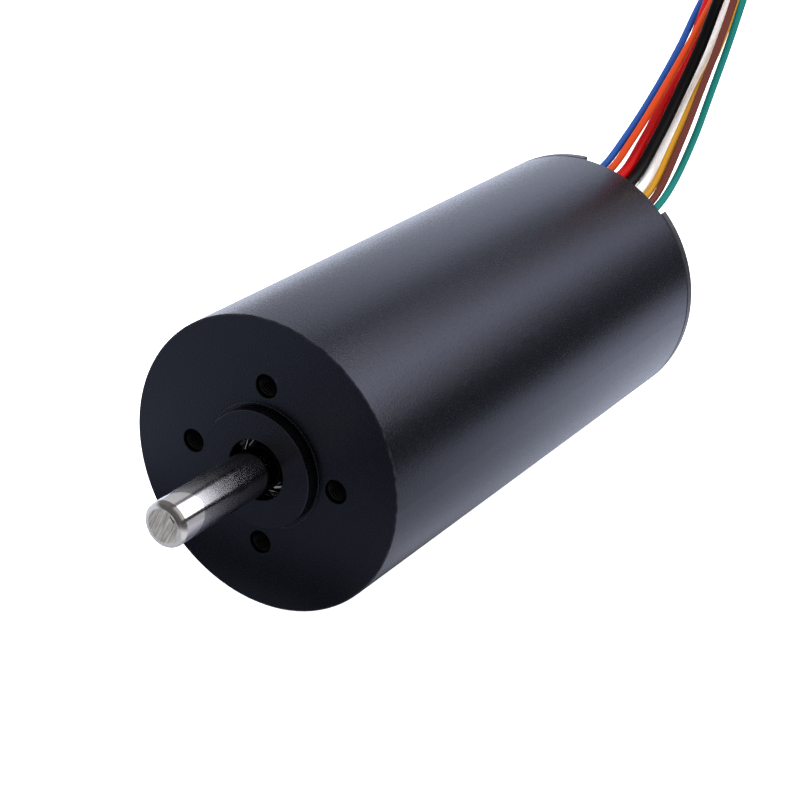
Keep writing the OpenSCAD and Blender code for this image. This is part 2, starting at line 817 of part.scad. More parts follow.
// The smooth curve through points, no lower than lowest, with steps near lead_ring_step
function smooth_path(points, lowest) =
    let (last = len(points) - 1)
        [for (i = [0:last - 1])
            let (p = points[i], q = points[i + 1], p_slope = slope(points, i),
                 q_slope = slope(points, i + 1), steps = max(1, round(norm(q - p) / lead_ring_step)))
                for (k = [0:steps - 1])
                    let (c = between(p, q, p_slope, q_slope, k / steps))
                        [c[0], c[1], max(c[2], lowest)],
         points[last]];

// Straight stretch through the board's end and the clamp, so the lead passes the comb squarely
function straight_start(i) =
    [for (k = [0:3])
        [lead_circle_r * cos(lead_angles[i]),
         comb_y + k * (comb_len + comb_lip) / 3,
         lead_circle_r * sin(lead_angles[i])]];

function shared_points(i) =
    [for (s = shared_run)
        [s[0] + lead_lanes[i] * cos(s[3]),
         body_end + s[1] - lead_lanes[i] * sin(s[3]),
         ground_z + lead_radii[i] + s[2]]];

function own_points(i) =
    [for (p = lead_points[i])
        [lead_circle_r * cos(lead_angles[i]) + p[0], body_end + p[1],
         lead_circle_r * sin(lead_angles[i]) + p[2]]];

function lead_path(i) =
    smooth_path(concat(straight_start(i), own_points(i), shared_points(i)),
                ground_z + lead_radii[i]);

function unit(v) = v / norm(v);

// Direction of a path at its point k
function heading(path, k) =
    unit(path[min(k + 1, len(path) - 1)] - path[max(k - 1, 0)]);

// Round tube of lead_sides flat sides along a path that never runs along X
module tube(path, r) {
    n = len(path);
    s = lead_sides;
    points = [for (k = [0:n - 1])
        let (t = heading(path, k), u = unit(cross(t, [1, 0, 0])), v = cross(t, u))
            for (j = [0:s - 1])
                path[k] + r * (cos(360 * j / s) * u + sin(360 * j / s) * v)];
    walls = [for (k = [0:n - 2], j = [0:s - 1])
        let (a = s * k + j, b = s * k + (j + 1) % s)
            for (half = [0:1])
                half == 0 ? [a, a + s, b] : [b, a + s, b + s]];
    ends = [[for (j = [0:s - 1]) j], [for (j = [0:s - 1]) s * n - 1 - j]];
    polyhedron(points, concat(ends, walls));
}

module lead(i) {
    tube(lead_path(i), lead_radii[i]);
}

module lead_blue() {
    color([0.1, 0.3, 0.65])
        lead(0);
}

module lead_orange() {
    color([0.93, 0.35, 0.12])
        lead(1);
}

module lead_red() {
    color([0.75, 0.04, 0.06])
        lead(2);
}

module lead_black() {
    color([0.06, 0.06, 0.08])
        lead(3);
}

module lead_white() {
    color([0.9, 0.9, 0.91])
        lead(4);
}

module lead_yellow() {
    color([0.83, 0.67, 0.19])
        lead(5);
}

module lead_brown() {
    color([0.48, 0.25, 0.22])
        lead(6);
}

module lead_green() {
    color([0.1, 0.56, 0.48])
        lead(7);
}

// Bare tinned strands, straight on from the end of each lead
module tinned_ends() {
    color([0.8, 0.8, 0.82])
        for (i = [0:len(lead_radii) - 1])
            let (path = lead_path(i), end = path[len(path) - 1],
                 way = heading(path, len(path) - 1))
                translate(end + face_gap * way)
                    rotate([0, 0, atan2(way[1], way[0])])
                        rotate([0, 90, 0])
                            cylinder(r = 0.6 * lead_radii[i], h = tinned_len);
}

housing();
centring_ring();
rear_bell();
rear_cap();
cap_screws();
lead_clamp();
stator_stack();
insulation_sleeve();
winding();
phase_tails();
hall_board();
hall_sensors();
solder_joints();
front_shim();
wave_washer();
front_outer_ring();
rear_outer_ring();
front_shields();
rear_shields();
shaft();
rotor_magnet();
magnet_sleeve();
front_balance_ring();
rear_balance_ring();
front_spacer();
rear_spacer();
front_inner_ring();
rear_inner_ring();
sensor_hub();
sensor_magnet();
front_cage();
front_balls();
rear_cage();
rear_balls();
lead_blue();
lead_orange();
lead_red();
lead_black();
lead_white();
lead_yellow();
lead_brown();
lead_green();
tinned_ends();
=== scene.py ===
import json
import math

import bpy
import numpy as np
from mathutils import Matrix


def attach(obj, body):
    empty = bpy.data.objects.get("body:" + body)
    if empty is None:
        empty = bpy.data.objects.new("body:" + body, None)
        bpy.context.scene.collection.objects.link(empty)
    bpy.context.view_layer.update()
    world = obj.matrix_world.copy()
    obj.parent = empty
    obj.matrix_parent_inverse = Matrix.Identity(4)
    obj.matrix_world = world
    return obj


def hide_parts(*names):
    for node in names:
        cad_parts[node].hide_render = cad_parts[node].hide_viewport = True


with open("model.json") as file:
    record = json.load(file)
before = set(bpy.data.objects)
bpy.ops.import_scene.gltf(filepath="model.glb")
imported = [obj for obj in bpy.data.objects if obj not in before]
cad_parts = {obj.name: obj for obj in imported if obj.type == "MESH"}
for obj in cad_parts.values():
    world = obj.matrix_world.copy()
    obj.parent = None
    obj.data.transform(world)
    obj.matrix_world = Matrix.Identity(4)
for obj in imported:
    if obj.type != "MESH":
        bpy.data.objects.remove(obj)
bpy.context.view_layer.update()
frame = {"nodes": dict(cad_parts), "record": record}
nodes = frame["nodes"]
scene = bpy.context.scene
scene.view_settings.view_transform = "Standard"
MM = 0.001            # metres in a millimetre; the sizes below are in millimetres
BODY_RADIUS = 20.0
SPIGOT_RADIUS = 8.0
HOLE_CIRCLE = 11.0    # radius on which the four mounting holes stand
THREAD_RADIUS = 1.5   # wall of a mounting hole
TUBE_END = 83.0       # y of the seam between the tube and the cap
BODY_END = 84.6       # y of the rear end of the cap
GROUND = -20.0        # z of the floor, which the body touches


# Camera: a long lens from the front right, looking down at the motor
def set_camera():
    """Puts the lens at its place in metres, with its own right, up and backward directions as
    the columns of its matrix."""
    right = (0.84250571, 0.53477243, 0.06482728)
    up = (-0.27859855, 0.32956193, 0.902093)
    back = (0.46104987, -0.77807929, 0.42664463)
    place = (0.126179, -0.180436, 0.114062)
    lens = bpy.data.cameras.new("camera")
    lens.lens = 88.546
    lens.sensor_width = 36.0
    lens.sensor_fit = "HORIZONTAL"
    lens.clip_start = 0.01
    lens.clip_end = 20.0
    camera = bpy.data.objects.new("camera", lens)
    scene.collection.objects.link(camera)
    camera.matrix_world = Matrix([(*row, place[k]) for k, row in enumerate(zip(right, up, back))]
                                 + [(0.0, 0.0, 0.0, 1.0)])
    scene.camera = camera


set_camera()


# Surfaces from arrays of points

def unit(vectors):
    """Each vector divided by its own length."""
    return vectors / np.linalg.norm(vectors, axis=-1, keepdims=True)


def grid_faces(rows, columns, first=0):
    """Four-sided faces between neighbouring rows and columns, the last column being joined to
    the first. first is the number of the grid's first point."""
    i = np.arange(rows - 1)[:, None]
    j = np.arange(columns)[None, :]
    k = (j + 1) % columns
    faces = np.stack([i * columns + j, i * columns + k,
                      (i + 1) * columns + k, (i + 1) * columns + j], axis=-1)
    return faces.reshape(-1, 4) + first


def fan_faces(ring_start, columns, pole, outward):
    """Three-sided faces from a ring of points to one pole point."""
    j = np.arange(columns)
    k = (j + 1) % columns
    ring = np.stack([ring_start + j, ring_start + k, np.full(columns, pole)], axis=-1)
    return ring if outward else ring[:, ::-1]


def signed_volume(points, faces):
    """Sum over all faces, cut into triangles, of a . (b x c) / 6, which is positive
    where the faces point outwards."""
    total = 0.0
    for block in faces:
        for k in range(1, block.shape[1] - 1):
            a, b, c = points[block[:, 0]], points[block[:, k]], points[block[:, k + 1]]
            total += float(np.einsum("ij,ij->i", a, np.cross(b, c)).sum()) / 6.0
    return total


def new_piece(name, points, faces, finish, body="stator", crease=40.0):
    """Mesh object at the origin from an array of points in metres and blocks of faces.
    Faces are turned outwards, and edges sharper than crease degrees stay sharp."""
    points = np.asarray(points, float).reshape(-1, 3)
    if signed_volume(points, faces) < 0.0:
        faces = [block[:, ::-1] for block in faces]
    mesh = bpy.data.meshes.new(name)
    mesh.from_pydata(points.tolist(), [], [f for block in faces for f in block.tolist()])
    mesh.polygons.foreach_set("use_smooth", np.ones(len(mesh.polygons), bool))
    mesh.set_sharp_from_angle(angle=math.radians(crease))
    mesh.materials.append(finishes[finish])
    piece = bpy.data.objects.new(name, mesh)
    scene.collection.objects.link(piece)
    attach(piece, body)
    return piece


def rounded(profile):
    """Open profile of (radius, y, rounding) points. Each corner B with a rounding c becomes
    the curve (1-t)^2 A + 2t(1-t) B + t^2 C, where A and C lie at distance c on either side."""
    steps = 9
    corners = np.array([p[:2] for p in profile], float)
    line = [corners[:1]]
    t = np.linspace(0.0, 1.0, steps)[:, None]
    for k in range(1, len(profile) - 1):
        c = profile[k][2]
        b = corners[k]
        if c <= 0.0:
            line.append(b[None])
            continue
        a = b + c * unit(corners[k - 1] - b)
        d = b + c * unit(corners[k + 1] - b)
        line.append((1 - t) ** 2 * a + 2 * t * (1 - t) * b + t ** 2 * d)
    line.append(corners[-1:])
    return np.concatenate(line)


def turned(profile, sides):
    """Points (r cos a, y, r sin a) of a profile of (r, y) carried once round the Y axis."""
    a = np.linspace(0.0, 2.0 * math.pi, sides, endpoint=False)[None, :]
    r = profile[:, 0][:, None]
    y = np.broadcast_to(profile[:, 1][:, None], (len(profile), sides))
    return np.stack([r * np.cos(a), y, r * np.sin(a)], axis=-1)


def turned_solid(name, profile, sides, finish, body):
    """Solid of revolution whose profile starts and ends on the axis: the two end points
    become poles, and the rings between them a grid that closes on itself."""
    points = turned(profile[1:-1], sides)
    rings = len(profile) - 2
    flat = points.reshape(-1, 3)
    poles = np.array([[0.0, profile[0, 1], 0.0], [0.0, profile[-1, 1], 0.0]])
    every = np.concatenate([flat, poles])
    first, last = len(flat), len(flat) + 1
    faces = [grid_faces(rings, sides),
             fan_faces(0, sides, first, False),
             fan_faces((rings - 1) * sides, sides, last, True)]
    return new_piece(name, every * MM, faces, finish, body)


def tube_points(lines, radii, sides):
    """Points c + r (cos a u + sin a v) round each centreline c, where u is the unit vector
    across the line and the X axis, and v the one across the line and u. lines is
    (tubes, stations, 3) and radii (tubes, stations)."""
    ahead = np.concatenate([lines[:, 1:2] - lines[:, :1], lines[:, 2:] - lines[:, :-2],
                            lines[:, -1:] - lines[:, -2:-1]], axis=1)
    t = unit(ahead)
    u = unit(np.cross(t, [1.0, 0.0, 0.0]))
    v = np.cross(t, u)
    a = np.linspace(0.0, 2.0 * math.pi, sides, endpoint=False)
    ring = np.cos(a)[:, None] * u[:, :, None, :] + np.sin(a)[:, None] * v[:, :, None, :]
    return lines[:, :, None, :] + radii[:, :, None, None] * ring


def tubes(name, lines, radii, sides, finish):
    """One piece of one or more round tubes with both ends closed by a pole point."""
    count, stations = lines.shape[:2]
    skin = tube_points(lines, radii, sides).reshape(-1, 3)
    ends = np.stack([lines[:, 0], lines[:, -1]], axis=1).reshape(-1, 3)
    faces = []
    for k in range(count):
        start = k * stations * sides
        pole = len(skin) + 2 * k
        faces.append(grid_faces(stations, sides, first=start))
        faces.append(fan_faces(start, sides, pole, False))
        faces.append(fan_faces(start + (stations - 1) * sides, sides, pole + 1, True))
    return new_piece(name, np.concatenate([skin, ends]) * MM, faces, finish, crease=50.0)


# Node networks; helpers that take a tree add their nodes to it

def put(tree, kind, sockets=None, **settings):
    """Adds a shader node, sets its options, and gives its sockets a value or a link."""
    node = tree.nodes.new(kind)
    for key, value in settings.items():
        setattr(node, key, value)
    for key, value in (sockets or {}).items():
        if isinstance(value, bpy.types.NodeSocket):
            tree.links.new(value, node.inputs[key])
        else:
            node.inputs[key].default_value = value
    return node


def calc(tree, operation, *values, clamp=False):
    """Output of one Math node on the values given."""
    return put(tree, "ShaderNodeMath", dict(enumerate(values)), operation=operation,
               use_clamp=clamp).outputs[0]


def weighted(tree, first, share, second, other):
    """first times share plus second times other."""
    return calc(tree, "ADD", calc(tree, "MULTIPLY", first, share), calc(tree, "MULTIPLY", second, other))


def distance(tree, first, second):
    """Square root of first squared plus second squared."""
    return calc(tree, "SQRT", weighted(tree, first, first, second, second))


def ramp_value(tree, value, low, high, out_low=0.0, out_high=1.0):
    """value carried smoothly from low..high to out_low..out_high, held at both ends."""
    return put(tree, "ShaderNodeMapRange",
               {"Value": value, "From Min": low, "From Max": high, "To Min": out_low, "To Max": out_high},
               interpolation_type="SMOOTHSTEP").outputs["Result"]


def fade(tree, value, start, end):
    """1 below start and 0 above end, both in millimetres, for a value in metres."""
    return ramp_value(tree, value, start * MM, end * MM, 1.0, 0.0)


def object_place(tree):
    """Place on the object, in metres."""
    return put(tree, "ShaderNodeTexCoord").outputs["Object"]


def parts_of(tree, vector):
    """The outputs X, Y and Z of a vector."""
    return put(tree, "ShaderNodeSeparateXYZ", {"Vector": vector}).outputs


def vector_of(tree, x, y, z):
    """Vector of three values."""
    return put(tree, "ShaderNodeCombineXYZ", {"X": x, "Y": y, "Z": z}).outputs[0]


def noise(tree, place, scale, detail, roughness=0.5):
    """Noise from 0 to 1 at the given place."""
    return put(tree, "ShaderNodeTexNoise", {"Vector": place, "Scale": scale, "Detail": detail,
                                            "Roughness": roughness}).outputs["Fac"]


def circle_gap(tree, radius, level):
    """Distance to the circle of the given radius round the Y axis at y = level."""
    place = parts_of(tree, object_place(tree))
    out = calc(tree, "SUBTRACT", distance(tree, place["X"], place["Z"]), radius)
    return distance(tree, out, calc(tree, "SUBTRACT", place["Y"], level))


def near_line(tree, start, end, width, level=1.0):
    """Nearness to the straight line from start to end, in millimetres: with way = end - start,
    the place's share h of the way is held to 0..1, and the mask falls from level to 0 with the
    length of place - start - h way."""
    start = np.array(start) * MM
    way = np.array(end) * MM - start
    off = put(tree, "ShaderNodeVectorMath", {0: object_place(tree), 1: tuple(start)},
              operation="SUBTRACT").outputs[0]
    share = put(tree, "ShaderNodeVectorMath", {0: off, 1: tuple(way / (way @ way))},
                operation="DOT_PRODUCT").outputs["Value"]
    share = calc(tree, "MAXIMUM", share, 0.0, clamp=True)
    along = put(tree, "ShaderNodeVectorMath", {0: tuple(way), 3: share}, operation="SCALE").outputs[0]
    gap = put(tree, "ShaderNodeVectorMath", {0: off, 1: along}, operation="DISTANCE").outputs["Value"]
    return ramp_value(tree, gap, 0.4 * width * MM, width * MM, level, 0.0)


# Node groups that the materials share

def new_group(name, inputs, outputs):
    """Node group with named float inputs and outputs; also gives the sockets inside it."""
    tree = bpy.data.node_groups.new(name, "ShaderNodeTree")
    for label, value in inputs.items():
        socket = tree.interface.new_socket(name=label, in_out="INPUT", socket_type="NodeSocketFloat")
        socket.default_value = value
    for label in outputs:
        tree.interface.new_socket(name=label, in_out="OUTPUT", socket_type="NodeSocketFloat")
    entry = tree.nodes.new("NodeGroupInput").outputs
    leave = tree.nodes.new("NodeGroupOutput").inputs
    return tree, entry, leave


def use(tree, group, **values):
    """Places a group in a material with the given inputs, and gives its outputs."""
    return put(tree, "ShaderNodeGroup", values, node_tree=group).outputs


def make_fine_grain():
    """Even grain of blasting or moulding: fine noise, and for the tone also coarser noise.
    Scale is in grains per metre, and Spread widens the tone round its middle."""
    tree, entry, leave = new_group("fine_grain", {"Scale": 6000.0, "Spread": 1.0}, ["Height", "Tone"])
    fine = noise(tree, object_place(tree), entry["Scale"], 2.0, 0.6)
    coarse = noise(tree, object_place(tree), calc(tree, "MULTIPLY", entry["Scale"], 0.13), 3.0)
    both = weighted(tree, fine, 0.7, coarse, 0.3)
    centred = calc(tree, "MULTIPLY", calc(tree, "SUBTRACT", both, 0.5), entry["Spread"])
    tree.links.new(fine, leave["Height"])
    tree.links.new(calc(tree, "ADD", centred, 0.5, clamp=True), leave["Tone"])
    return tree


def make_lathe_marks():
    """Fine grooves round the Y axis: noise read at (radius, y), so that it is the same all
    the way round, with a slow drift across."""
    tree, entry, leave = new_group("lathe_marks", {"Scale": 9000.0, "Drift": 60.0}, ["Height", "Tone"])
    place = parts_of(tree, object_place(tree))
    radius = distance(tree, place["X"], place["Z"])
    spot = vector_of(tree, weighted(tree, radius, entry["Scale"], place["X"], entry["Drift"]),
                     calc(tree, "MULTIPLY", place["Y"], entry["Scale"]),
                     calc(tree, "MULTIPLY", place["Z"], entry["Drift"]))
    fine = noise(tree, spot, 1.0, 3.0, 0.65)
    broad = noise(tree, spot, 0.11, 2.0)
    tree.links.new(fine, leave["Height"])
    tree.links.new(weighted(tree, fine, 0.6, broad, 0.4), leave["Tone"])
    return tree


def make_smudges():
    """Soft patches from handling: slow noise, cut so that only part of the surface has them."""
    tree, entry, leave = new_group("smudges", {"Scale": 90.0, "Cover": 0.5}, ["Mask"])
    slow = noise(tree, object_place(tree), entry["Scale"], 4.0, 0.6)
    low = calc(tree, "SUBTRACT", 0.75, calc(tree, "MULTIPLY", entry["Cover"], 0.5))
    tree.links.new(ramp_value(tree, slow, low, calc(tree, "ADD", low, 0.2)), leave["Mask"])
    return tree


def make_dust():
    """Sparse small specks: the middles of some cells of a cell pattern."""
    tree, entry, leave = new_group("dust", {"Scale": 1500.0, "Amount": 0.1}, ["Mask"])
    cells = put(tree, "ShaderNodeTexVoronoi", {"Vector": object_place(tree), "Scale": entry["Scale"],
                                               "Randomness": 1.0}).outputs
    chosen = calc(tree, "LESS_THAN", parts_of(tree, cells["Color"])["X"], entry["Amount"])
    near = ramp_value(tree, cells["Distance"], 0.1, 0.3, 1.0, 0.0)
    tree.links.new(calc(tree, "MULTIPLY", chosen, near), leave["Mask"])
    return tree


def make_rubbed_rim():
    """Wear along one turned edge: nearness to the circle of the given radius and y, broken
    up by noise."""
    tree, entry, leave = new_group("rubbed_rim", {"Radius": 0.02, "Level": 0.0, "Width": 0.0003}, ["Mask"])
    gap = circle_gap(tree, entry["Radius"], entry["Level"])
    near = calc(tree, "SUBTRACT", 1.0, calc(tree, "DIVIDE", gap, entry["Width"]), clamp=True)
    patches = ramp_value(tree, noise(tree, object_place(tree), 700.0, 4.0), 0.35, 0.62)
    tree.links.new(calc(tree, "MULTIPLY", near, patches), leave["Mask"])
    return tree


def make_ring_band():
    """Even band round one turned circle: 1 on the circle of the given radius and y, falling to
    0 at the distance Reach from it."""
    tree, entry, leave = new_group("ring_band", {"Radius": 0.008, "Level": 0.0, "Reach": 0.001}, ["Mask"])
    gap = circle_gap(tree, entry["Radius"], entry["Level"])
    full = calc(tree, "MULTIPLY", entry["Reach"], 0.6)
    tree.links.new(ramp_value(tree, gap, full, entry["Reach"], 1.0, 0.0), leave["Mask"])
    return tree


# Start, end, width and strength of each painted glint, in millimetres
GLINTS = [((-3.45, 1.4, 2.15), (-3.85, 1.4, 0.65), 0.09, 1.0),
          ((-2.5, 1.4, 2.4), (-3.2, 1.4, 1.3), 0.16, 0.5),
          ((0.95, 1.4, -3.3), (2.4, 1.4, -2.75), 0.2, 1.0),
          ((0.1, 1.4, -4.03), (1.7, 1.4, -3.86), 0.1, 1.0),
          ((0.1, 0.45, -4.1), (0.91, 0.25, -4.0), 0.08, 0.5)]


def make_bore_glints():
    """Painted glints deep in the bore: the greatest nearness to a few straight lines."""
    tree, entry, leave = new_group("painted_bore_glints", {"Gain": 1.0}, ["Mask"])
    mask = 0.0
    for start, end, width, level in GLINTS:
        mask = calc(tree, "MAXIMUM", mask, near_line(tree, start, end, width, level))
    tree.links.new(calc(tree, "MULTIPLY", mask, entry["Gain"]), leave["Mask"])
    return tree


def make_jacket_skin():
    """Extruded insulation: long streaks and soft waves, read from the attribute that holds
    (cos a, sin a, length along the lead) so that they follow the lead without a seam."""
    tree, entry, leave = new_group("jacket_skin", {"Streaks": 3.0, "Waves": 120.0}, ["Height", "Tone"])
    part = parts_of(tree, put(tree, "ShaderNodeAttribute", attribute_name="section").outputs["Vector"])
    spot = vector_of(tree, *[calc(tree, "MULTIPLY", part[axis], entry[size])
                             for axis, size in [("X", "Streaks"), ("Y", "Streaks"), ("Z", "Waves")]])
    streak = noise(tree, spot, 1.0, 3.0, 0.6)
    grain = noise(tree, object_place(tree), 5000.0, 2.0)
    tree.links.new(weighted(tree, streak, 0.8, grain, 0.2), leave["Height"])
    tree.links.new(streak, leave["Tone"])
    return tree


fine_grain = make_fine_grain()
lathe_marks = make_lathe_marks()
smudges = make_smudges()
dust = make_dust()
rubbed_rim = make_rubbed_rim()
ring_band = make_ring_band()
painted_bore_glints = make_bore_glints()
jacket_skin = make_jacket_skin()


# Materials; colours are linear

NEAR_BLACK = (0.0002, 0.0002, 0.0003)


def rgba(colour):
    """Colour of three values with its fourth, 1; a socket stays what it is."""
    return (*colour, 1.0) if isinstance(colour, tuple) else colour


def lighter(colour, gain):
    """Colour times gain, no brighter than 1."""
    return tuple(min(1.0, c * gain) for c in colour)


def mix_colour(tree, factor, first, second):
    """Blend of two colours by a mask."""
    return put(tree, "ShaderNodeMix", {0: factor, 6: rgba(first), 7: rgba(second)},
               data_type="RGBA").outputs[2]


def mix_value(tree, factor, first, second):
    """Blend of two values by a mask."""
    return put(tree, "ShaderNodeMix", {0: factor, 2: first, 3: second}).outputs[0]


def new_finish(name, constants):
    """Material with one Principled shader whose constant sockets are set on it directly."""
    material = bpy.data.materials.new(name)
    material.use_nodes = True
    tree = material.node_tree
    tree.nodes.clear()
    shader = put(tree, "ShaderNodeBsdfPrincipled", constants)
    put(tree, "ShaderNodeOutputMaterial", {"Surface": shader.outputs["BSDF"]})
    return material, tree, shader


def surfaced(tree, shader, base, rough, height, depth):
    """Feeds colour and roughness into the shader, and a height through a Bump node, depth
    being the height's full range in metres."""
    bump = put(tree, "ShaderNodeBump", {"Height": height, "Strength": 1.0, "Distance": depth})
    for value, socket in [(base, "Base Color"), (rough, "Roughness"), (bump.outputs["Normal"], "Normal")]:
        tree.links.new(value, shader.inputs[socket])


def hole_shade_mask(tree):
    """Mask of painted shade: 1 on the walls and edges of the four mounting holes. The nearest hole's
    axis stands at (HOLE_CIRCLE, 0) for the point (larger, smaller) of |x| and |z|."""
    place = put(tree, "ShaderNodeVectorMath", {0: object_place(tree)}, operation="ABSOLUTE").outputs[0]
    place = parts_of(tree, place)
    out = calc(tree, "SUBTRACT", calc(tree, "MAXIMUM", place["X"], place["Z"]), HOLE_CIRCLE * MM)
    gap = distance(tree, out, calc(tree, "MINIMUM", place["X"], place["Z"]))
    return calc(tree, "MULTIPLY", fade(tree, gap, 1.58, 1.66), fade(tree, place["Y"], 5.5, 6.0))


def anodised(name, colour):
    """Black anodised aluminium: fine blasted grain, faint turning marks, a few specks of dust,
    thin rubbed rims, and the bluish sheen of the dye. Painted shade makes the relief round the
    spigot and the walls of the four holes nearly black, and a painted highlight makes the relief's
    outer edge slightly paler. The seam at the rear cap is nearly black. A few painted glints
    stand deep in the bore."""
    material, tree, shader = new_finish(name, {"IOR": 1.56, "Specular Tint": rgba((0.72, 0.77, 1.0))})
    grain = use(tree, fine_grain, Scale=4300.0, Spread=2.0)
    marks = use(tree, lathe_marks, Scale=4300.0, Drift=40.0)
    specks = use(tree, dust, Scale=700.0, Amount=0.012)["Mask"]
    worn = calc(tree, "MAXIMUM", *[
        use(tree, rubbed_rim, Radius=(BODY_RADIUS - 0.05) * MM, Level=y * MM, Width=0.25 * MM)["Mask"]
        for y in (0.05, TUBE_END - 0.05)])
    # The first band is painted shade round the spigot, the second a painted highlight along the relief's
    # outer edge, and the third the dark seam at the rear cap
    foot_shade, lip_highlight, seam = [
        use(tree, ring_band, Radius=r * MM, Level=y * MM, Reach=reach * MM)["Mask"]
        for r, y, reach in [(SPIGOT_RADIUS + 0.05, -0.45, 1.15), (SPIGOT_RADIUS + 0.42, 0.0, 0.11),
                            (BODY_RADIUS, TUBE_END, 0.14)]]
    hole_shade = hole_shade_mask(tree)
    # Painted glints: pale colour where the bore shows reflections
    glints = use(tree, painted_bore_glints, Gain=1.0)["Mask"]
    base = mix_colour(tree, weighted(tree, grain["Tone"], 0.75, marks["Tone"], 0.25),
                      lighter(colour, 0.3), lighter(colour, 1.7))
    # NEAR_BLACK round the spigot and in the holes is painted shade, the paler colour at the relief's edge a
    # painted highlight and the pale glint colour painted glints; the seam's NEAR_BLACK is a dark joint
    for mask, cover, over in [(specks, 0.1, (0.05, 0.05, 0.055)), (worn, 0.3, (0.05, 0.052, 0.06)),
                              (foot_shade, 0.9, NEAR_BLACK), (lip_highlight, 0.7, (0.014, 0.015, 0.019)),
                              (hole_shade, 1.0, NEAR_BLACK), (seam, 1.0, NEAR_BLACK),
                              (glints, 1.0, (0.85, 0.87, 0.86))]:
        base = mix_colour(tree, calc(tree, "MULTIPLY", mask, cover), base, over)
    rough = ramp_value(tree, grain["Height"], 0.25, 0.75, 0.19, 0.29)
    # Metallic on a near-black base stops reflection: painted shade in the holes, and a dark joint at the seam
    hole_shade_and_seam_metallic = calc(tree, "MAXIMUM", calc(tree, "MULTIPLY", hole_shade, 0.85), calc(tree, "MULTIPLY", seam, 0.6))
    tree.links.new(hole_shade_and_seam_metallic, shader.inputs["Metallic"])
    height = calc(tree, "ADD", grain["Height"], calc(tree, "MULTIPLY", marks["Height"], 0.25))
    surfaced(tree, shader, base, rough, height, 0.000031)
    return material


def turned_metal(name, colour, roughness, scale=9000.0):
    """Bare turned or ground metal: rings round the axis, fine grain and slow stains."""
    material, tree, shader = new_finish(name, {"Metallic": 1.0})
    marks = use(tree, lathe_marks, Scale=scale, Drift=90.0)
    grain = use(tree, fine_grain, Scale=11000.0, Spread=1.2)
    touch = use(tree, smudges, Scale=160.0, Cover=0.5)["Mask"]
    base = mix_colour(tree, marks["Tone"], lighter(colour, 0.8), lighter(colour, 1.12))
    base = mix_colour(tree, calc(tree, "MULTIPLY", touch, 0.25), base, lighter(colour, 0.62))
    rough = calc(tree, "ADD", ramp_value(tree, marks["Tone"], 0.3, 0.7, roughness * 0.8, roughness * 1.25),
                 calc(tree, "MULTIPLY", grain["Tone"], 0.05))
    surfaced(tree, shader, base, rough, marks["Height"], 0.000008)
    return material


def moulded(name, colour, roughness):
    """Moulded plastic with a spark-eroded grain, a little dust and handling polish."""
    material, tree, shader = new_finish(name, {"IOR": 1.5})
    grain = use(tree, fine_grain, Scale=3500.0, Spread=1.6)
    touch = use(tree, smudges, Scale=110.0, Cover=0.5)["Mask"]
    specks = use(tree, dust, Scale=1100.0, Amount=0.05)["Mask"]
    base = mix_colour(tree, grain["Tone"], lighter(colour, 0.7), lighter(colour, 1.3))
    base = mix_colour(tree, calc(tree, "MULTIPLY", specks, 0.3), base, (0.2, 0.2, 0.21))
    rough = calc(tree, "ADD", ramp_value(tree, grain["Tone"], 0.2, 0.8, roughness - 0.06, roughness + 0.06),
                 calc(tree, "MULTIPLY", touch, -0.07))
    surfaced(tree, shader, base, rough, grain["Height"], 0.00002)
    return material


def insulation(name, colour):
    """Extruded lead insulation: soft gloss, with long streaks, soft waves and a little dust."""
    material, tree, shader = new_finish(name, {"IOR": 1.45, "Specular IOR Level": 0.14})
    skin = use(tree, jacket_skin, Streaks=1.3, Waves=90.0)
    specks = use(tree, dust, Scale=1500.0, Amount=0.015)["Mask"]
    touch = use(tree, smudges, Scale=120.0, Cover=0.5)["Mask"]
    base = mix_colour(tree, skin["Tone"], lighter(colour, 0.93), lighter(colour, 1.06))
    base = mix_colour(tree, calc(tree, "MULTIPLY", specks, 0.12), base, (0.5, 0.5, 0.5))
    rough = calc(tree, "ADD", ramp_value(tree, skin["Tone"], 0.3, 0.7, 0.38, 0.47),
                 calc(tree, "MULTIPLY", touch, 0.06))
    surfaced(tree, shader, base, rough, skin["Height"], 0.000008)
    return material


def saw_lines(tree):
    """Straight lines of noise across the tip, 25 degrees off level, from 0 to 1."""
    turned_round = put(tree, "ShaderNodeVectorRotate", {"Vector": object_place(tree), "Angle": -0.42},
                       rotation_type="Y_AXIS").outputs["Vector"]
    drawn_out = put(tree, "ShaderNodeVectorMath", {0: turned_round, 1: (4200.0, 0.0, 260.0)},
                    operation="MULTIPLY").outputs[0]
    return noise(tree, drawn_out, 1.0, 3.0, 0.7)


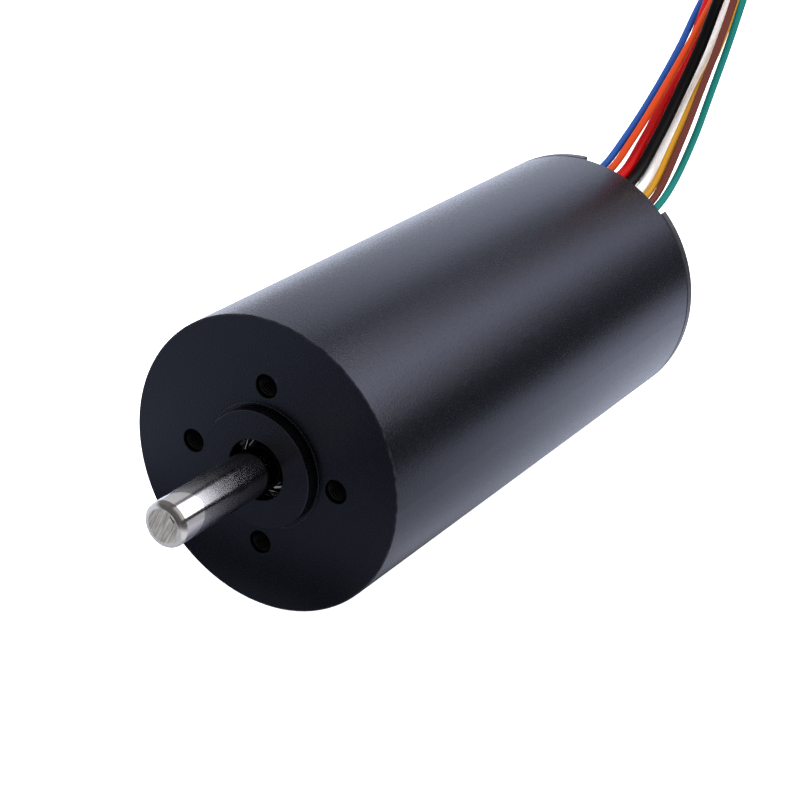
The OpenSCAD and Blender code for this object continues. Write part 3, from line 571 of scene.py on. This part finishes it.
def ground_shaft(name, colour):
    """Ground shaft: fine rings drawn round the axis, which stretch a highlight along it under a
    sharp sheen, with painted shade darkening it towards the motor. The sawn tip is dull, with
    straight saw lines and a dark nick at its edge. The chamfer carries a painted reflection:
    bright, and painted dark on its upper side."""
    material, tree, shader = new_finish(name, {"Anisotropic": 0.92, "Anisotropic Rotation": 0.25,
                                               "Coat Roughness": 0.03, "Coat IOR": 4.0})
    place = parts_of(tree, object_place(tree))
    radius = distance(tree, place["X"], place["Z"])
    tip = calc(tree, "MULTIPLY", fade(tree, place["Y"], -19.96, -19.9), fade(tree, radius, 2.14, 2.3))
    rim = calc(tree, "SUBTRACT", fade(tree, place["Y"], -19.2, -19.02), tip, clamp=True)
    marks = use(tree, lathe_marks, Scale=14000.0, Drift=120.0)
    grain = use(tree, fine_grain, Scale=6500.0, Spread=1.6)
    lines = saw_lines(tree)
    side = mix_colour(tree, weighted(tree, marks["Tone"], 0.5, grain["Tone"], 0.5),
                      lighter(colour, 0.9), lighter(colour, 1.06))
    # Painted shade: the side darkens towards the motor's face, which shades it
    side = mix_colour(tree, ramp_value(tree, place["Y"], -0.0175, -0.0015), side, lighter(colour, 0.03))
    # Painted reflection on the chamfer: painted dark on its upper side, bright on the rest
    lower = fade(tree, weighted(tree, place["X"], 0.5, place["Z"], 0.87), 1.3, 2.1)
    side = mix_colour(tree, rim, side, mix_colour(tree, lower, (0.12, 0.115, 0.115), (0.8, 0.8, 0.81)))
    end = mix_colour(tree, ramp_value(tree, lines, 0.3, 0.7), (0.17, 0.163, 0.158), (0.49, 0.472, 0.462))
    nick = near_line(tree, (1.07, -20.0, 1.57), (1.56, -20.0, 1.06), 0.16)
    end = mix_colour(tree, nick, end, (0.02, 0.017, 0.016))
    coat = calc(tree, "SUBTRACT", fade(tree, place["Y"], -2.2, -1.5),
                calc(tree, "ADD", tip, calc(tree, "MULTIPLY", rim, 0.92)), clamp=True)
    tangent = put(tree, "ShaderNodeTangent", direction_type="RADIAL", axis="Y").outputs[0]
    for value, socket in [(calc(tree, "SUBTRACT", 1.0, weighted(tree, tip, 0.55, rim, 0.3)), "Metallic"),
                          (coat, "Coat Weight"), (tangent, "Tangent")]:
        tree.links.new(value, shader.inputs[socket])
    rough = mix_value(tree, tip, ramp_value(tree, grain["Tone"], 0.2, 0.8, 0.18, 0.23), 0.5)
    height = mix_value(tree, tip, calc(tree, "MULTIPLY", marks["Height"], 0.35), lines)
    surfaced(tree, shader, mix_colour(tree, tip, side, end), rough, height, 0.0000012)
    return material


def shade_painted_ring(name):
    """Face of the bearing deep in the bore: painted nearly black as shade, with a few painted glints."""
    material, tree, shader = new_finish(name, {"Metallic": 1.0})
    streaks = use(tree, painted_bore_glints, Gain=1.0)["Mask"]
    marks = use(tree, lathe_marks, Scale=9000.0, Drift=60.0)
    # Near-black metallic base: painted shade on the ring face
    base = mix_colour(tree, marks["Tone"], (0.002, 0.002, 0.0025), (0.006, 0.006, 0.007))
    # Pale streaks here are painted glints
    base = mix_colour(tree, streaks, base, (0.9, 0.92, 0.9))
    tree.links.new(calc(tree, "SUBTRACT", 1.0, streaks), shader.inputs["Metallic"])
    rough = ramp_value(tree, marks["Tone"], 0.3, 0.7, 0.3, 0.42)
    surfaced(tree, shader, base, rough, marks["Height"], 0.000006)
    return material


def cut_thread(name):
    """Walls of the threaded holes: painted nearly black as shade, with painted highlights making the
    crests a little lighter, read from the attribute that holds the height of the ridge."""
    material, tree, shader = new_finish(name, {})
    grain = use(tree, fine_grain, Scale=7000.0, Spread=1.6)
    crest = put(tree, "ShaderNodeAttribute", attribute_name="crest").outputs["Fac"]
    # Near-black base is painted shade inside the holes; the paler crests are painted highlights
    base = mix_colour(tree, grain["Tone"], (0.001, 0.001, 0.0012), (0.004, 0.004, 0.005))
    base = mix_colour(tree, ramp_value(tree, crest, 0.55, 0.95), base, (0.022, 0.023, 0.026))
    tree.links.new(ramp_value(tree, crest, 0.3, 0.9, 1.0, 0.9), shader.inputs["Metallic"])
    rough = ramp_value(tree, grain["Tone"], 0.2, 0.8, 0.24, 0.36)
    surfaced(tree, shader, base, rough, grain["Height"], 0.00001)
    return material


# Maker, colour and, for moulded plastic and metal, roughness and scale of marks
FINISHES = {
    "housing_black": (anodised, (0.001, 0.001, 0.0017)),
    "cap_black": (moulded, (0.016, 0.0155, 0.021), 0.33),
    "screw_steel": (turned_metal, (0.12, 0.12, 0.125), 0.35),
    "clamp_black": (moulded, (0.01, 0.01, 0.011), 0.55),
    "lamination_steel": (turned_metal, (0.4, 0.41, 0.43), 0.4, 5000.0),
    "liner_amber": (moulded, (0.62, 0.34, 0.06), 0.3),
    "winding_copper": (turned_metal, (0.72, 0.3, 0.12), 0.28, 6000.0),
    "bell_aluminium": (turned_metal, (0.72, 0.73, 0.75), 0.35),
    "board_green": (moulded, (0.02, 0.16, 0.06), 0.35),
    "sensor_black": (moulded, (0.02, 0.02, 0.022), 0.5),
    "solder_tin": (turned_metal, (0.7, 0.7, 0.72), 0.25, 2500.0),
    "bearing_steel": (turned_metal, (0.3, 0.305, 0.315), 0.22),
    "shield_steel": (turned_metal, (0.6, 0.6, 0.62), 0.3),
    "shaft_steel": (ground_shaft, (0.82, 0.85, 0.97)),
    "magnet_alloy": (turned_metal, (0.3, 0.3, 0.32), 0.4),
    "band_carbon": (moulded, (0.02, 0.02, 0.022), 0.35),
    "turned_brass": (turned_metal, (0.75, 0.5, 0.18), 0.28),
    "cage_nylon": (moulded, (0.65, 0.58, 0.4), 0.5),
    "insulation_blue": (insulation, (0.0113, 0.058, 0.252)),
    "insulation_orange": (insulation, (0.437, 0.037, 0.0025)),
    "insulation_red": (insulation, (0.378, 0.0002, 0.0005)),
    "insulation_black": (insulation, (0.001, 0.001, 0.0018)),
    "insulation_white": (insulation, (0.87, 0.87, 0.88)),
    "insulation_yellow": (insulation, (0.42, 0.2, 0.011)),
    "insulation_brown": (insulation, (0.099, 0.0223, 0.0165)),
    "insulation_green": (insulation, (0.0043, 0.138, 0.122)),
    "tinned_copper": (turned_metal, (0.74, 0.74, 0.76), 0.25, 4000.0),
}
finishes = {name: make(name, *values) for name, (make, *values) in FINISHES.items()}
for entry in frame["record"]["subparts"]:
    for material_slot in nodes[entry["node"]].material_slots:
        material_slot.material = finishes[entry["material_slot"]]
for material_slot in nodes["front_inner_ring"].material_slots:
    material_slot.material = shade_painted_ring("shade_painted_ring")


# Free leads, in the order in which they stand in the comb; all lengths in millimetres
LEADS = ["blue", "orange", "red", "black", "white", "yellow", "brown", "green"]
LEAD_RADII = [0.575, 0.575, 0.9, 0.9, 0.9, 0.575, 0.575, 0.575]
THICK = 0.7           # leads of a larger radius get more sides and one more layer of strands
# Place of each lead along the arc of the comb, from the notch's middle towards -X
LEAD_STEPS = [4.973, 3.693, 2.088, 0.158, -1.772, -3.377, -4.657, -5.937]
NOTCH_ANGLE = 68.75   # the notch's middle, in degrees from +X towards +Z
LEAD_CIRCLE = 17.4    # radius of that arc
COMB_START = 77.7     # y of the first of four points inside the comb
COMB_STEP = 1.2667    # from each of them to the next
TINNED = 5.0          # length of the bare end
COPPER_SHARE = 0.58   # radius of the bare end over that of the jacket
# Points of each lead outside the cap, measured from its place in the comb at y = BODY_END
LEAD_POINTS = [
    [[0.42, 2.1, 1.46], [0.72, 7.43, 4.47], [0.82, 16.32, 9.98],
     [0.93, 23.84, 15.97], [1.03, 30.28, 22.38], [1.66, 36.02, 27.61]],
    [[0.56, 1.61, 1.42], [1.04, 6.96, 5.02], [1.68, 14.25, 11.01],
     [2.48, 20.56, 17.41], [3.35, 26.03, 23.93], [3.93, 31.07, 29.57]],
    [[0.36, 3, 0.75], [0.07, 10.18, 4.54], [0.05, 17.68, 10.64],
     [-0.56, 25.47, 16.53], [0.12, 28.59, 23.58], [-0.05, 32.47, 29.78]],
    [[0.28, 2.6, 0.73], [0.65, 9.46, 6.04], [0.84, 15.57, 12.24],
     [1.25, 20.51, 18.74], [1.48, 24.58, 25.39], [1.73, 29.3, 31.46]],
    [[-0.23, 3.8, 0.41], [-0.96, 12.35, 6.15], [-0.98, 19.26, 12.23],
     [-1.56, 26.45, 18.12], [-2.09, 32.18, 24.58], [-2.41, 34.9, 26.9]],
    [[-0.07, 3.1, 0.91], [0.06, 10.79, 8.01], [-0.5, 17.93, 13.73],
     [-1.22, 26.53, 19.33], [-1.79, 32.72, 25.54], [-1.92, 35.57, 27.69]],
    [[0.03, 2.7, 1.03], [0.27, 10.3, 9.08], [0.13, 15.3, 15.33],
     [0.21, 19.77, 21.89], [-0.13, 24.54, 28.36], [-1.02, 28.59, 34.45]],
    [[0.23, 2.4, 1.33], [0.08, 12.99, 9.36], [0.07, 17.42, 15.83],
     [0.03, 21.82, 22.38], [0.13, 25.27, 29.09], [0.23, 28.6, 35.9]]]
# The run that all leads share: x, y past BODY_END, height over the floor, heading in degrees
SHARED_RUN = np.array([
    [10.6, 38.2, 76, 27], [15.2, 45.4, 78.2, 30], [19.3, 51.4, 72, 31], [21.2, 54.2, 62.5, 31],
    [21.8, 55.2, 51, 30], [22.1, 55.4, 39.5, 25], [22.2, 55.6, 28.5, 20], [22.3, 56.3, 18, 14],
    [22.4, 58.7, 8.5, 8], [22.4, 64.8, 1.6, 2], [22.3, 73.4, 0.1, -2], [21.6, 82.2, 0, -8],
    [19.8, 90.6, 0, -15], [17.1, 98.6, 0, -21], [13.7, 106.4, 0, -26], [9.6, 113.9, 0, -30]])
LANES = [-5.7, 1, -2.1, 2.6, -4.1, -0.4, 4.3, 5.8]   # place of each lead across that run


def lead_stations(k):
    """Points that one lead passes: straight through the comb, up in its own fan, then in its
    lane beside the others, x + lane cos h and y - lane sin h at heading h, down to the ground."""
    angle = math.radians(NOTCH_ANGLE) + LEAD_STEPS[k] / LEAD_CIRCLE
    straight = np.stack([np.full(4, LEAD_CIRCLE * math.cos(angle)), COMB_START + np.arange(4) * COMB_STEP,
                         np.full(4, LEAD_CIRCLE * math.sin(angle))], axis=-1)
    fan = np.array(LEAD_POINTS[k], float) + [straight[0, 0], BODY_END, straight[0, 2]]
    h = np.radians(SHARED_RUN[:, 3])
    shared = np.stack([SHARED_RUN[:, 0] + LANES[k] * np.cos(h),
                       BODY_END + SHARED_RUN[:, 1] - LANES[k] * np.sin(h),
                       GROUND + LEAD_RADII[k] + SHARED_RUN[:, 2]], axis=-1)
    return np.concatenate([straight, fan, shared])


def smooth_line(points, lowest, step):
    """Cubic curve through all points: on each stretch of length w, (2c-3s+1) p + (c-2s+t) w m
    + (3s-2c) q + (c-s) w n with s = t^2 and c = t^3, never lower than lowest. The slopes m and
    n lie closer to the shorter side's direction."""
    gaps = np.diff(points, axis=0)
    size = np.linalg.norm(gaps, axis=1, keepdims=True)
    back = np.concatenate([gaps[:1], gaps])
    on = np.concatenate([gaps, gaps[-1:]])
    nb = np.concatenate([size[:1], size])
    no = np.concatenate([size, size[-1:]])
    slopes = (back * no / nb + on * nb / no) / (nb + no)
    line = []
    for k in range(len(points) - 1):
        w = size[k]
        t = np.linspace(0.0, 1.0, max(2, int(round(float(w[0]) / step)) + 1))[:-1, None]
        s, c = t * t, t * t * t
        line.append((2 * c - 3 * s + 1) * points[k] + (c - 2 * s + t) * w * slopes[k]
                    + (3 * s - 2 * c) * points[k + 1] + (c - s) * w * slopes[k + 1])
    line.append(points[-1:])
    line = np.concatenate(line)
    line[:, 2] = np.maximum(line[:, 2], lowest)
    return line


def add_section(piece, line, sides):
    """Stores (cos a, sin a, length along the lead in metres) at each point of a tube."""
    along = np.concatenate([[0.0], np.cumsum(np.linalg.norm(np.diff(line, axis=0), axis=1))]) * MM
    a = np.linspace(0.0, 2.0 * math.pi, sides, endpoint=False)
    rows = np.stack(np.broadcast_arrays(np.cos(a)[None, :], np.sin(a)[None, :], along[:, None]), axis=-1)
    ends = np.array([[0.0, 0.0, along[0]], [0.0, 0.0, along[-1]]])
    values = np.concatenate([rows.reshape(-1, 3), ends])
    section = piece.data.attributes.new("section", "FLOAT_VECTOR", "POINT")
    section.data.foreach_set("vector", values.ravel())


def strand_lines(end, way, radius, length, layers):
    """Centrelines of stranded wire: layer n holds 6n strands on a circle of 2n strand radii,
    all turning one way along the lead as cos and sin of 2 pi s / pitch."""
    thin = radius / (2 * layers + 1)
    pitch = 16.0 * thin
    s = np.linspace(-0.6, length, 26)
    u = unit(np.cross(way, [0.0, 0.0, 1.0]))
    v = np.cross(way, u)
    lines = [end + s[:, None] * way]
    for n in range(1, layers + 1):
        for k in range(6 * n):
            a = 2.0 * math.pi * (k / (6 * n) + s / pitch)
            ring = 2 * n * thin * (np.cos(a)[:, None] * u + np.sin(a)[:, None] * v)
            lines.append(end + s[:, None] * way + ring)
    return np.array(lines), thin


def make_lead(k):
    """One lead: a smooth jacket along its line, its cut end slightly rounded, and the
    tinned strands that stand out of it."""
    radius = LEAD_RADII[k]
    sides, layers = (28, 2) if radius > THICK else (22, 1)
    line = smooth_line(lead_stations(k), GROUND + radius, 0.9)
    way = unit(line[-1] - line[-2])
    rim = line[-1] + np.array([[-0.12], [-0.04], [0.0]]) * way
    line = np.concatenate([line[:-1], rim, rim[-1:]])
    line[-1] -= 0.03 * way   # the middle of the cut end is sunk a little
    radii = np.full(len(line), radius)
    radii[-3:] = [radius - 0.02, radius - 0.1, 0.64 * radius]
    jacket = tubes("lead_" + LEADS[k] + "_jacket", line[None], radii[None], sides,
                   "insulation_" + LEADS[k])
    add_section(jacket, line, sides)
    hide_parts("lead_" + LEADS[k])
    lines, thin = strand_lines(rim[-1], way, COPPER_SHARE * radius, TINNED, layers)
    widths = np.full(lines.shape[:2], thin * 1.04)   # a little wide, so that the strands touch
    widths[:, -1] = 0.55 * thin
    strands = tubes("lead_" + LEADS[k] + "_strands", lines, widths, 10, "tinned_copper")
    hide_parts("tinned_ends")


for number in range(len(LEADS)):
    make_lead(number)


# Threads of the four mounting holes

def make_threads():
    """Ridge that winds down each hole: the wall's radius is THREAD_RADIUS - depth f, where f
    rises and falls once in every pitch of y - a / 360 * pitch, and fades out at both ends. The
    wall's back, just outside the hole, closes the piece."""
    pitch, depth = 0.5, 0.27
    start, end = 0.1, 4.9
    clearance, thickness = 0.004, 0.06
    sides = 48
    y = np.arange(start, end, pitch / 8)[:, None]
    a = np.linspace(0.0, 2.0 * math.pi, sides, endpoint=False)[None, :]
    phase = (y / pitch - a / (2.0 * math.pi)) % 1.0
    ridge = np.clip(1.5 * (1.0 - np.abs(2.0 * phase - 1.0)) - 0.25, 0.0, 1.0)
    ridge = ridge * np.clip((y - 0.15) / 0.4, 0.0, 1.0) * np.clip((end - y) / 0.3, 0.0, 1.0)
    inner = THREAD_RADIUS - clearance - depth * ridge
    back = np.full((1, sides), THREAD_RADIUS + thickness)
    r = np.concatenate([back, inner, back])
    level = np.concatenate([y[:1], y, y[-1:]])
    rows = len(level)
    flat = np.zeros((1, sides))
    height = np.concatenate([flat, ridge, flat])
    points, faces = [], []
    for k in range(4):
        turn = math.radians(90.0 * k)
        points.append(np.stack([HOLE_CIRCLE * math.cos(turn) + r * np.cos(a),
                                np.broadcast_to(level, r.shape),
                                HOLE_CIRCLE * math.sin(turn) + r * np.sin(a)], axis=-1).reshape(-1, 3))
        first = k * rows * sides
        faces.append(grid_faces(rows, sides, first=first))
        j = np.arange(sides)
        n = (j + 1) % sides
        top = first + (rows - 1) * sides
        faces.append(np.stack([top + j, top + n, first + n, first + j], axis=-1))
    threads = new_piece("mounting_threads", np.concatenate(points) * MM, faces, "housing_black", crease=60.0)
    threads.data.materials[0] = cut_thread("cut_thread")
    crest = threads.data.attributes.new("crest", "FLOAT", "POINT")
    crest.data.foreach_set("value", np.tile(height.ravel(), 4))


make_threads()


# Shaft, with soft edges

def make_shaft():
    """Profile of the shaft from the tip to the tail, with its corners rounded."""
    outline = rounded([
        (0, -20, 0), (2.1, -20, 0.06), (2.18, -20, 0.02), (3, -20, 0.8), (3, -1.4, 0.05), (2.8, -1.4, 0.03),
        (2.8, -0.6, 0.03), (3, -0.6, 0.05), (3, 9, 0.1), (5, 9, 0.2), (5, 63, 0.2), (3, 63, 0.1),
        (3, 71.4, 0.15), (2, 71.4, 0.05), (2, 76.2, 0.2), (0, 76.2, 0)])
    shaft = turned_solid("shaft_turned", outline, 128, "shaft_steel", "rotor")
    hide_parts("shaft")


make_shaft()


# Floor and studio light

WHITE = (1.0, 1.0, 1.0, 1.0)


def light_of(tree, kind, colour, strength):
    """Shader output of an Emission or Background node."""
    return put(tree, kind, {"Color": colour, "Strength": strength}).outputs[0]


def by_ray(tree, rest, mirrored, seen):
    """Shader that shows seen to the camera, mirrored to glossy rays and rest to all others."""
    path = put(tree, "ShaderNodeLightPath").outputs
    unseen = put(tree, "ShaderNodeMixShader", {0: path["Is Glossy Ray"], 1: rest, 2: mirrored}).outputs[0]
    return put(tree, "ShaderNodeMixShader", {0: path["Is Camera Ray"], 1: unseen, 2: seen}).outputs[0]


def make_floor():
    """Pale floor under the motor. The camera sees it white. Mirrored, it is bright behind the
    motor, with a painted shadow close under its sides, dark to the far right, dim in front with one
    warm corner ahead on the right. All other rays get an even light that grows towards the back."""
    half = 3.0
    mesh = bpy.data.meshes.new("floor")
    z = (GROUND - 0.02) * MM
    mesh.from_pydata([(-half, -half, z), (half, -half, z), (half, half, z), (-half, half, z)], [],
                     [(0, 1, 2, 3)])
    floor = bpy.data.objects.new("floor", mesh)
    scene.collection.objects.link(floor)
    material = bpy.data.materials.new("floor_white")
    material.use_nodes = True
    tree = material.node_tree
    tree.nodes.clear()
    place = parts_of(tree, object_place(tree))
    x, y = place["X"], place["Y"]
    behind = calc(tree, "ADD", ramp_value(tree, y, -0.012, 0.022, 0.02, 0.69),
                  ramp_value(tree, y, 0.03, 0.11, 0.0, 0.57))
    # Painted shadow in the mirrored floor light, close under the motor's sides
    beside = fade(tree, calc(tree, "ABSOLUTE", x), 10.0, 17.8)
    under = calc(tree, "MULTIPLY", ramp_value(tree, y, 0.0, 0.01), ramp_value(tree, y, 0.015, 0.06, 1.0, 0.3))
    shadow = calc(tree, "MULTIPLY", calc(tree, "MULTIPLY", beside, 0.97), under)
    right = ramp_value(tree, x, 0.022, 0.13, 1.0, 0.01)
    left = ramp_value(tree, x, -0.3, -0.05, 1.6, 1.0)
    for share in (calc(tree, "SUBTRACT", 1.0, shadow), right, left):
        behind = calc(tree, "MULTIPLY", behind, share)
    front = calc(tree, "ADD", ramp_value(tree, x, -0.046, -0.022, 0.34, 0.0),
                 ramp_value(tree, y, -0.045, -0.03, 0.075, 0.265))
    front = calc(tree, "MULTIPLY", front, fade(tree, y, -20.0, -5.0))
    slant = calc(tree, "SUBTRACT", y, calc(tree, "MULTIPLY", x, 0.95))
    corner = calc(tree, "MULTIPLY", ramp_value(tree, x, 0.007, 0.014), fade(tree, slant, -14.0, -11.0))
    corner = calc(tree, "MULTIPLY", corner, 0.5)
    glow = calc(tree, "MAXIMUM", calc(tree, "ADD", behind, front), corner)
    mirrored = light_of(tree, "ShaderNodeEmission",
                        mix_colour(tree, corner, (0.8, 0.85, 1.03), (1.15, 1.0, 0.9)), glow)
    even = light_of(tree, "ShaderNodeEmission", WHITE, ramp_value(tree, y, -0.04, 0.05, 1.1, 2.0))
    paper = put(tree, "ShaderNodeBsdfDiffuse", {"Color": rgba((0.8, 0.8, 0.8))}).outputs[0]
    seen = put(tree, "ShaderNodeAddShader",
               {0: light_of(tree, "ShaderNodeEmission", WHITE, 0.9), 1: paper}).outputs[0]
    put(tree, "ShaderNodeOutputMaterial", {"Surface": by_ray(tree, even, mirrored, seen)})
    material.cycles.emission_sampling = "NONE"
    mesh.materials.append(material)


# Points of (angle in degrees from +X through +Z to -X, level) of the mirrored studio light, for
# directions that lie low, near and far along +Y; LEVEL_SHARE keeps the stored levels under 1
LEVEL_SHARE = 3.5
LOW = [(0, 0.5), (3, 0.46), (8, 0.03), (19, 0.03), (25, 3.3), (80, 3.3), (90, 0.2), (100, 0.2),
       (106, 0.6), (180, 0.6)]
NEAR = [(0, 0.07), (20, 0.07), (34, 0.8), (48, 3.1), (60, 2.9), (74, 1.05), (92, 0.38), (106, 0.52),
        (124, 0.82), (148, 0.8), (168, 0.8), (180, 0.95)]
FAR = [(0, 0.17), (20, 0.17), (34, 0.4), (48, 1.0), (60, 0.85), (74, 0.28), (92, 0.22), (106, 0.62),
       (124, 1.4), (148, 1.35), (168, 1.2), (180, 1.25)]


def curve_tone(tree, turn, curve, between):
    """Level at turn, which is 0..1 for 0..180 degrees, on a curve, divided by LEVEL_SHARE."""
    node = put(tree, "ShaderNodeValToRGB", {"Fac": turn})
    ramp = node.color_ramp
    ramp.interpolation = between
    while len(ramp.elements) < len(curve):
        ramp.elements.new(0.5)
    for stop, (angle, level) in zip(ramp.elements, curve):
        stop.position = angle / 180.0
        stop.color = rgba((level / LEVEL_SHARE,) * 3)
    return node.outputs["Color"]


def make_studio():
    """Soft light all round. Mirrored, it follows the curves over the angle round the Y axis for
    directions towards +Y, going from LOW over NEAR to FAR as the direction's y grows, and is a
    dim upper light for directions towards -Y. All other rays get an even light, a little
    brighter from above and from the left."""
    world = bpy.data.worlds.new("studio")
    scene.world = world
    world.cycles.sampling_method = "NONE"
    world.use_nodes = True
    tree = world.node_tree
    tree.nodes.clear()
    way = parts_of(tree, put(tree, "ShaderNodeTexCoord").outputs["Generated"])
    turn = calc(tree, "DIVIDE", calc(tree, "ARCTAN2", way["Z"], way["X"]), math.pi)
    low, near, far = [curve_tone(tree, turn, curve, between)
                      for curve, between in [(LOW, "LINEAR"), (NEAR, "EASE"), (FAR, "EASE")]]
    raised = ramp_value(tree, way["Y"], 0.703, 0.73)
    behind = mix_colour(tree, ramp_value(tree, way["Y"], 0.765, 0.825), near, far)
    behind = calc(tree, "MULTIPLY", mix_colour(tree, raised, low, behind), LEVEL_SHARE)
    upper = calc(tree, "MULTIPLY", ramp_value(tree, way["Z"], 0.0, 0.8, 0.1, 0.3),
                 ramp_value(tree, way["X"], -0.4, 0.3, 1.1, 0.5))
    ahead = calc(tree, "ADD", upper, calc(tree, "MULTIPLY", behind,
                                          ramp_value(tree, way["Y"], -0.6, -0.1, 0.06, 0.42)))
    side = ramp_value(tree, way["Y"], -0.2, 0.35)
    level = weighted(tree, behind, side, ahead, calc(tree, "SUBTRACT", 1.0, side))
    tint = mix_colour(tree, raised, (1.0, 0.95, 0.93), (0.8, 0.85, 1.03))
    mirrored = light_of(tree, "ShaderNodeBackground", tint, level)
    even = calc(tree, "MULTIPLY", ramp_value(tree, way["Z"], -0.2, 0.8, 1.35, 1.6),
                ramp_value(tree, way["X"], -0.6, 0.7, 1.5, 1.1))
    even = light_of(tree, "ShaderNodeBackground", WHITE, even)
    seen = light_of(tree, "ShaderNodeBackground", WHITE, 1.0)
    put(tree, "ShaderNodeOutputWorld", {"Surface": by_ray(tree, even, mirrored, seen)})


make_floor()
make_studio()
